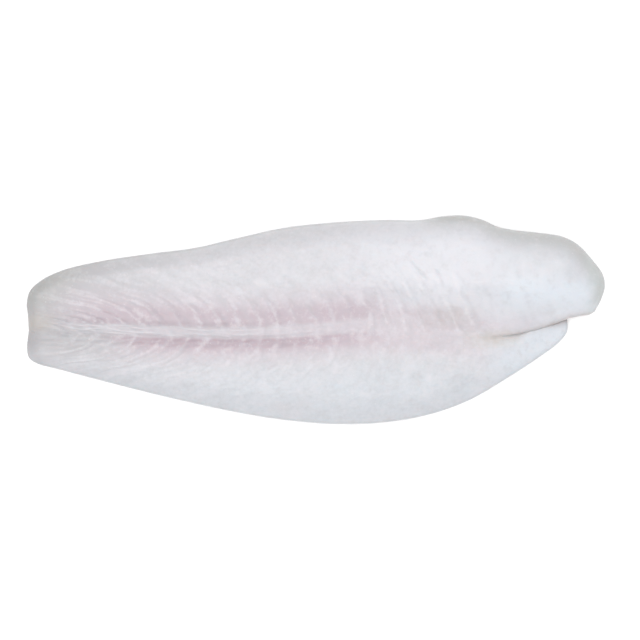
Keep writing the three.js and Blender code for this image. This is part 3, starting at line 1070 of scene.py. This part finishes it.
def bands_of(meat):
    """The pink blocks in two bands, one on each side of the seam, with paler sheets between."""
    blotches = (0.55 + 1.3 * meat.mottle + 0.4 * meat.fine).rise(0.1, 0.8)
    blocks = (0.45 + 0.55 * blotches) * (1 - 0.62 * meat.sheet)
    return (0.9 * area(meat, LOIN_BAND) + area(meat, BELLY_BAND)) * blocks


def blush_of(meat):
    """The paler pink between the bands and the cut, where the blocks no longer show."""
    return area(meat, BLUSH) * (0.8 + 0.8 * meat.mottle)


# %% [markdown]
# ## Cool places, painted light and shade, and tan places
#
# Thin wet meat looks bluish, as at the belly and at the loin's end, and thick meat is milky. Painted
# light brightens the loin's inner slope near the head. Painted shade darkens the loin's edge, where
# its surface turns down, and the tail's corner is grey. Tan shows where darker muscle lies close to
# the surface: at the tail's cut, in the loin, and at the root of the pin-bone cut.

# %% Cool places, and painted light on the loin's inner slope
COOL_BELLY = (-9, -24)
COOL_LOBE = ("offset", 0, -4), ("x", 74, 90)
COOL_LOIN = ("offset", 0, 4), ("x", 70, 100)
COOL_LOIN_Y = (12, 12)  # middle and half width
LIT_LOIN_SLOPE = ("x", 66, 100), ("x", 128, 120), ("y", 1, 12), ("y", 23, 12)
BRIGHT_BELLY = ("offset", -1, -4), ("offset", -24, -8), ("x", 72, 90)


def cool_of(meat):
    """The bluish belly and the end of the loin."""
    belly = meat.offset.rise(*COOL_BELLY) + area(meat, COOL_LOBE)
    loin = area(meat, COOL_LOIN) * (0.55 + 0.45 * meat.y.hump(*COOL_LOIN_Y))
    return (belly + loin) * (0.8 + 1.2 * meat.broad)


def bright_belly_and_lit_slope_of(meat):
    """Painted light on the loin's inner slope near the head, and the bright belly beside the cut."""
    return area(meat, LIT_LOIN_SLOPE) + area(meat, BRIGHT_BELLY) * 0.8


# %% Painted shade at the edges, and tan spots
EDGE_SHADE_REACH = (10, 0)  # distances from the outline
SHADED_SLOPE = ("to_edge", 22, 8), ("x", 70, 95)
SHADED_BULGE = ("to_edge", 4, 0), ("x", 35, 60), ("x", 85, 60)
EDGE_SHADE_SIDE = (4, 10)
EDGE_SHADE_FULL_FROM = (42, 62)
TAIL_CORNER = ("to_edge", 20, 5), ("offset", 7, 14), ("x", -98, -120)
TAN_SPOTS = [  # middle and half width in x and in y, and strength
    ((-126, 13), (-1, 7), 1),
    ((60, 20), (2, 8), 0.42),
    ((80, 19), (-8.5, 6.5), 1),
]


def edge_shade_and_grey_of(meat):
    """Painted shade along the loin's edge, from its bulge to the end of its lobe, and the grey of the
    tail's corner.
    """
    edge = meat.to_edge.rise(*EDGE_SHADE_REACH)
    edge = edge + 0.2 * area(meat, SHADED_SLOPE) + 0.6 * area(meat, SHADED_BULGE)
    edge = edge * meat.offset.rise(*EDGE_SHADE_SIDE) * (0.3 + 0.7 * meat.x.rise(*EDGE_SHADE_FULL_FROM))
    return edge + area(meat, TAIL_CORNER)


def tan_of(meat):
    spots = [meat.x.hump(*x) * meat.y.hump(*y) * strength for x, y, strength in TAN_SPOTS]
    return sum(spots) * (0.7 + 1.2 * meat.mottle)


# %% [markdown]
# ## The flesh
#
# All the colours are laid over each other like thin washes, from the broadest to the finest. Each
# wash is a colour and a mask, which says how much of it goes where. The cut's walls come last,
# because a knife leaves them plain.

# %% The broad washes
TAIL = (-42, -128)
TAIL_FADES = (-4, -14)
HEAD_LOIN = ("x", -20, 55), ("offset", 2, 14)
HEAD_LIP = ("x", 66, 88), ("offset", 0.5, 4)
MILKY_BELLY = ("x", -60, -100), ("offset", -5, -14)
MILKY_LOBE = ("x", 60, 86), ("offset", -1, -6)
END_FACE_FROM = (119, 124)
END_FACE_Y = (36, 26)


def broad_washes(meat):
    """The colours of the large areas."""
    belly = area(meat, MILKY_BELLY) + area(meat, MILKY_LOBE)
    grey_tail = meat.tail * (0.85 - 0.55 * meat.offset.rise(*TAIL_FADES)) + meat.broad * 0.25
    end_face = (meat.x + meat.mottle * 8).rise(*END_FACE_FROM) * meat.y.rise(*END_FACE_Y)
    return [
        (BRIGHT, meat.head + belly * 0.7),
        (COOL_WHITE, cool_of(meat) * 0.6),
        (TAIL_GREY, grey_tail),
        # painted shade along the loin's edge, and the grey of the tail's corner
        (EDGE_SHADE_AND_GREY, edge_shade_and_grey_of(meat) * 0.75),
        (GREEN_WHITE, end_face * 0.48),
        # painted light on the loin's inner slope, and the bright belly beside the cut
        (COOL_WHITE_AND_PAINTED_LIGHT, bright_belly_and_lit_slope_of(meat) * 0.85),
        (LILAC, halo_of(meat) * 0.7),
        (PINK, bands_of(meat) * 0.75),
        (PALE_PINK, blush_of(meat) * 0.55),
    ]


# %% Fibres, sheets and the cord, with painted shade and glints
TAIL_TIP = (-108, -124)
PLATES = ("offset", 0, 4), ("x", 15, 45), ("x", 85, 60)
LOIN_FIBRES = ("offset", 7, 13), ("x", 20, -20)
ABOVE_CORD = ("offset", 4.1, 6.3), ("offset", 8.5, 6.3), ("x", 0, -40), ("x", -118, -100)
BELOW_CORD = ("offset", -4.2, -1.4), ("offset", 1.4, -1.4), ("x", 30, -20), ("x", -104, -82)
ON_CORD = (2.8, 3.3)  # middle and half width
ON_CORD_FLANK = (0.05, 0.5)
ON_CORD_ALONG = ("x", 20, -60), ("x", -125, -102)
GLINT_LIMITS = (0.23, 0.28)


def muscle_washes(meat):
    """What the blocks, their fibres and sheets, and the cord add, with painted shade and glints."""
    mottle, fine = meat.mottle, meat.fine
    tip = meat.x.rise(*TAIL_TIP)
    calm = 1 - 0.7 * meat.head - 0.5 * tip
    fibres = meat.streaks * (0.27 + 0.12 * area(meat, LOIN_FIBRES))
    above = area(meat, ABOVE_CORD) * (0.6 + 2 * mottle)
    below = area(meat, BELOW_CORD)
    cord = meat.offset.hump(*ON_CORD).rise(*ON_CORD_FLANK) * area(meat, ON_CORD_ALONG)
    white = meat.sheet * (0.17 + 0.18 * meat.tail + 0.7 * area(meat, PLATES)) + fibres
    # painted glints: sparse bright dots from noise
    specks = meat.specks.rise(*GLINT_LIMITS)
    return [
        (GREY_MEAT, mottle * 1.1 + fine * calm * 1.2 - fibres),
        # painted shade behind each sheet and in the groove above the cord
        (SHADE, meat.behind_sheet * (0.2 + 0.25 * meat.tail) + above * 0.38),
        # painted shade, in deep pink, in the furrow below the cord and the groove above it
        (PINK_GROOVE_SHADE, below * 0.4 + above * 0.35),
        (WHITE_TISSUE_AND_GLINTS, white - (mottle + fine) * 0.9 * (1 - 0.6 * tip)),
        (CORD_GREY, cord * (0.5 + 0.2 * meat.strands)),
        # the cord's white strands, and painted glints of the wet surface
        (WHITE_TISSUE_AND_GLINTS, cord * meat.strands * 0.35 + specks * 0.5),
    ]


# %% Painted shade at the rims, and the cut
RIM = (1.5, 0)  # distances from the outline
RIM_FULL_SIDE = (-2, 2)
TAIL_RIM_SHADE = ("to_edge", 9, 1), ("x", -113, -124)
CREASE_SHADE_AREA = ("offset", -1.6, 0), ("offset", 1.6, 0), ("x", 70, 84)
WALL_LIMITS = (0.5, 0.8)


def rim_and_cut_washes(meat):
    """Painted shade along the outline, the tan spots, the pin-bone cut's stain and walls, and painted
    shade in the seam's crease.
    """
    rim = meat.to_edge.rise(*RIM) * (0.6 + 0.4 * meat.offset.rise(*RIM_FULL_SIDE)) * 0.45
    rim = rim + area(meat, TAIL_RIM_SHADE) * 0.22
    return [
        # painted shade along the outline, weaker on the underside
        (RIM_SHADE, rim * (1 - 0.7 * meat.under)),
        (TAN, tan_of(meat) * 0.7),
        # a brown stain at the cut's lips, and painted shade in the seam's crease before the cut
        (BROWN_STAIN_AND_SHADE, meat.in_cut * (0.5 + 1.5 * meat.mottle) + area(meat, CREASE_SHADE_AREA) * 0.2),
        (CUT_WALL, meat.in_cut.rise(*WALL_LIMITS)),
    ]


# %% Wet, see-through meat
WET_MEAT = {
    "Subsurface Weight": 0.5,
    "Subsurface Radius": (1.0, 0.6, 0.5),
    "Subsurface Scale": 0.002,
    "IOR": 1.38,
    "Coat Weight": 0.35,
    "Coat Roughness": 0.2,
    "Coat IOR": 1.33,
}
GRAIN_BUMP = {"Strength": 0.5, "Distance": 0.0002}


def make_flesh():
    material = bpy.data.materials.new("raw_fish")
    material.use_nodes = True
    tree = material.node_tree
    shader = tree.nodes["Principled BSDF"]
    meat = fields_of_meat(tree)
    meat.tail = meat.x.rise(*TAIL)
    meat.head = area(meat, HEAD_LOIN) + area(meat, HEAD_LIP)
    colour = meat.x.node("ShaderNodeRGB")
    colour.output.default_value = PALE
    for wash, mask in broad_washes(meat) + muscle_washes(meat) + rim_and_cut_washes(meat):
        colour = colour.tint(wash, mask)
    roughness = 0.36 + 0.25 * meat.mottle + 0.15 * meat.grain
    height = meat.grain * 0.5 + meat.fine * 0.6 + meat.sheet * 0.3
    relief = height.node("ShaderNodeBump", {}, {"Height": height, **GRAIN_BUMP})
    tree.links.new(colour.output, shader.inputs["Base Color"])
    tree.links.new(roughness.output, shader.inputs["Roughness"])
    tree.links.new(relief.output, shader.inputs["Normal"])
    for name, value in WET_MEAT.items():
        shader.inputs[name].default_value = value
    return material


fillet.data.materials.append(make_flesh())
print("flesh nodes:", len(fillet.data.materials[0].node_tree.nodes))

# %% [markdown]
# ## Table and light
#
# The photograph is a cut-out on white, and its light is so soft that hardly anything casts a
# shadow. A white table under a white surround comes close to it and still shows where the meat
# rests. One large soft light from nearly overhead gives the wet surface its faint sheen.

# %% The table
FLOOR_SIZE = 4.0
FLOOR_DROP = 0.00005  # keeps the table just clear of the meat's underside
FLOOR_WHITE = (0.9, 0.9, 0.9, 1)
FLOOR_ROUGHNESS = 0.9


def add_floor():
    half = FLOOR_SIZE / 2
    mesh = bpy.data.meshes.new("table")
    corners = [(-half, -half, 0), (half, -half, 0), (half, half, 0), (-half, half, 0)]
    mesh.from_pydata(corners, [], [(0, 1, 2, 3)])
    floor = bpy.data.objects.new("table", mesh)
    floor.location.z = -FLOOR_DROP
    bpy.context.scene.collection.objects.link(floor)
    material = bpy.data.materials.new("white_table")
    material.use_nodes = True
    shader = material.node_tree.nodes["Principled BSDF"]
    shader.inputs["Base Color"].default_value = FLOOR_WHITE
    shader.inputs["Roughness"].default_value = FLOOR_ROUGHNESS
    mesh.materials.append(material)
    return floor


floor = add_floor()

# %% The light and the surround
SURROUND_WHITE = (1, 1, 1, 1)
SURROUND_BRIGHTNESS = 1.0
SOFTBOX_PLACE = (-0.05, 0.05, 1.4)
SOFTBOX_SIZE = 1.8
SOFTBOX_WATTS = 18


def add_softbox():
    """A round soft light that points at the fillet."""
    data = bpy.data.lights.new("softbox", "AREA")
    data.shape = "DISK"
    data.size = SOFTBOX_SIZE
    data.energy = SOFTBOX_WATTS
    light = bpy.data.objects.new("softbox", data)
    light.location = SOFTBOX_PLACE
    light.rotation_mode = "QUATERNION"
    light.rotation_quaternion = (-light.location).to_track_quat("-Z", "Y")
    bpy.context.scene.collection.objects.link(light)


def add_surround():
    world = bpy.data.worlds.new("pale_surround")
    world.use_nodes = True
    background = world.node_tree.nodes["Background"]
    background.inputs["Color"].default_value = SURROUND_WHITE
    background.inputs["Strength"].default_value = SURROUND_BRIGHTNESS
    bpy.context.scene.world = world


add_softbox()
add_surround()
bpy.context.scene.view_settings.view_transform = "Standard"
